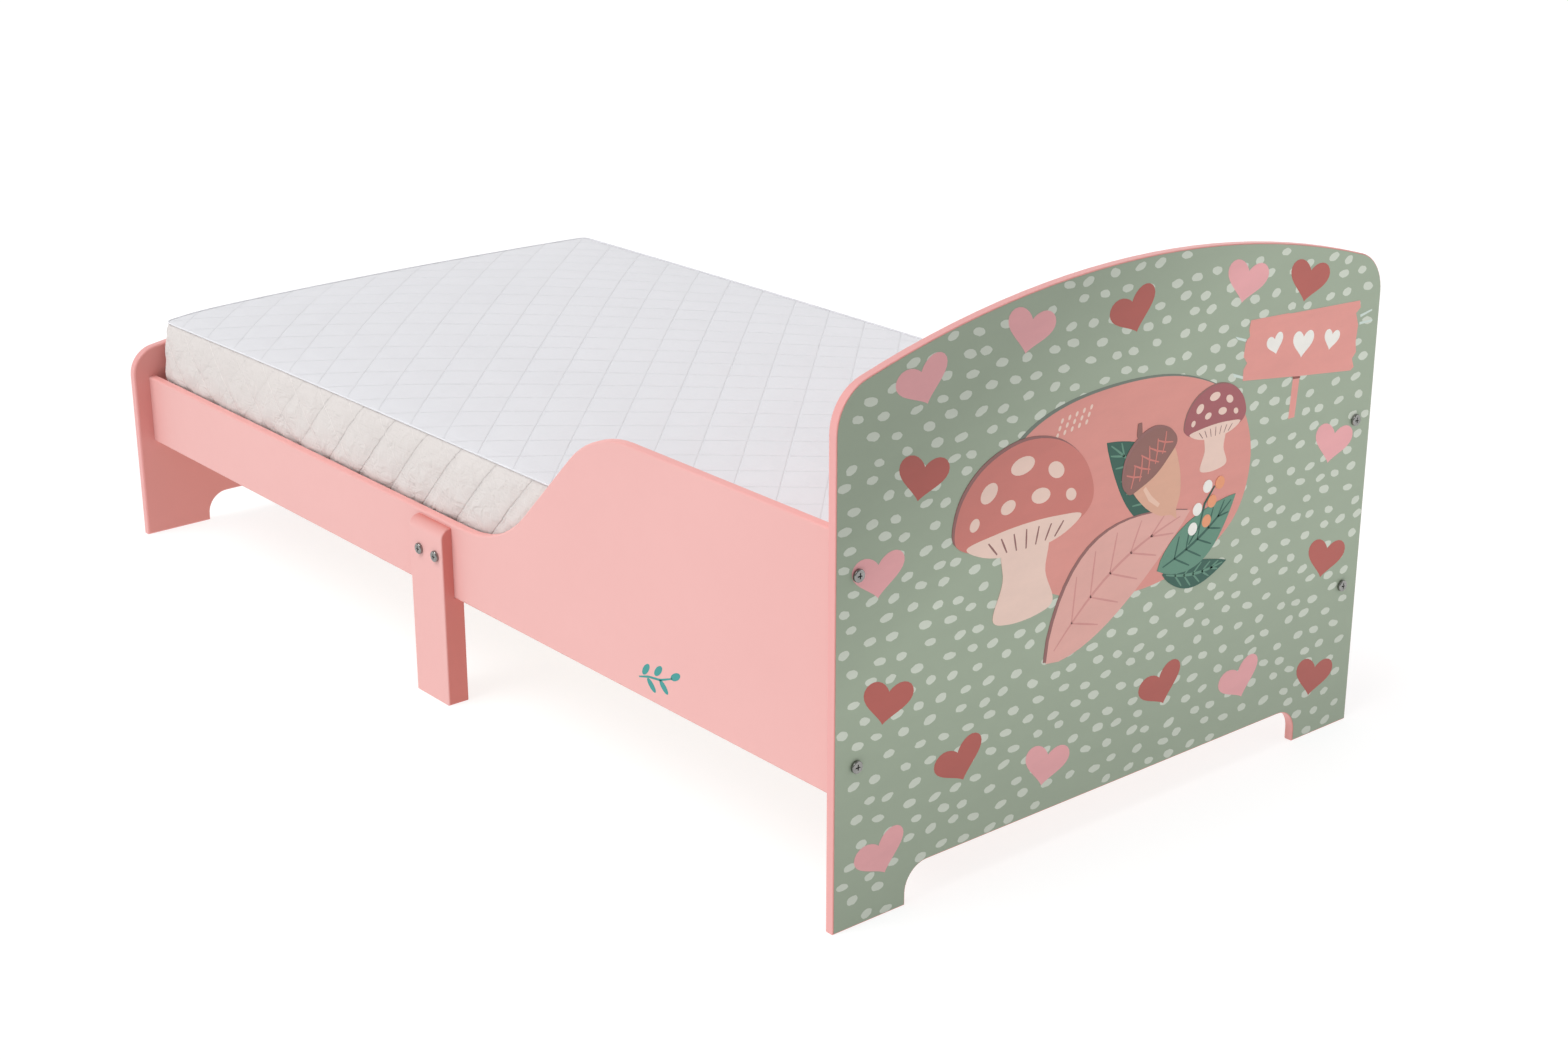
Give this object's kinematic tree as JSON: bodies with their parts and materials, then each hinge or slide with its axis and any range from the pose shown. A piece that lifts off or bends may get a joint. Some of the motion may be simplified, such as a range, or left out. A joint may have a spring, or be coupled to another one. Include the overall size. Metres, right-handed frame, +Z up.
{
  "type": "toddler bed",
  "caption": "Low toddler bed with arched printed board ends, side rails that swoop up to guards at the head, middle legs, slatted base and quilted foam mattress.",
  "frame": {"origin": "on the floor, in the middle of the bed's plan", "axes": "+X along the bed towards the headboard, +Y to the far side (the side away from the viewer), +Z up"},
  "size_m": [1.4368, 0.77, 0.6],
  "materials": {
    "painted_board": "satin pink paint on fibreboard",
    "printed_foil": "satin printed foil, sage green with pale spots",
    "pine": "planed, unfinished",
    "beech_dowel": "fluted, unfinished",
    "zinc_steel": "bright zinc plate",
    "mattress_cloth": "quilted knit, white top and ivory border",
    "foam": "open cell foam"
  },
  "bodies": {
    "frame": {"headboard_panel": "painted_board", "headboard_print_foil": "printed_foil", "footboard_panel": "painted_board", "footboard_print_foil": "printed_foil", "side_rail_near": "painted_board", "side_rail_far": "painted_board", "middle_leg_near": "painted_board", "middle_leg_far": "painted_board", "cross_plank": "pine", "ledger_near_head": "pine", "ledger_near_foot": "pine", "ledger_far_head": "pine", "ledger_far_foot": "pine", "slat_01": "pine", "slat_02": "pine", "slat_03": "pine", "slat_04": "pine", "slat_05": "pine", "slat_06": "pine", "slat_07": "pine", "slat_08": "pine", "slat_09": "pine", "slat_10": "pine", "slat_11": "pine", "slat_12": "pine", "headboard_bolts": "zinc_steel", "footboard_bolts": "zinc_steel", "headboard_barrel_nuts": "zinc_steel", "footboard_barrel_nuts": "zinc_steel", "leg_screws": "zinc_steel", "ledger_screws": "zinc_steel", "slat_screws": "zinc_steel", "headboard_dowels": "beech_dowel", "footboard_dowels": "beech_dowel"},
    "mattress": {"mattress_cover": "mattress_cloth", "mattress_core": "foam"}
  },
  "joints": [
    {"name": "mattress_lift", "type": "slide", "parent": "frame", "child": "mattress", "axis": [0, 0, 1], "range_m": [0, 0.45]}
  ]
}
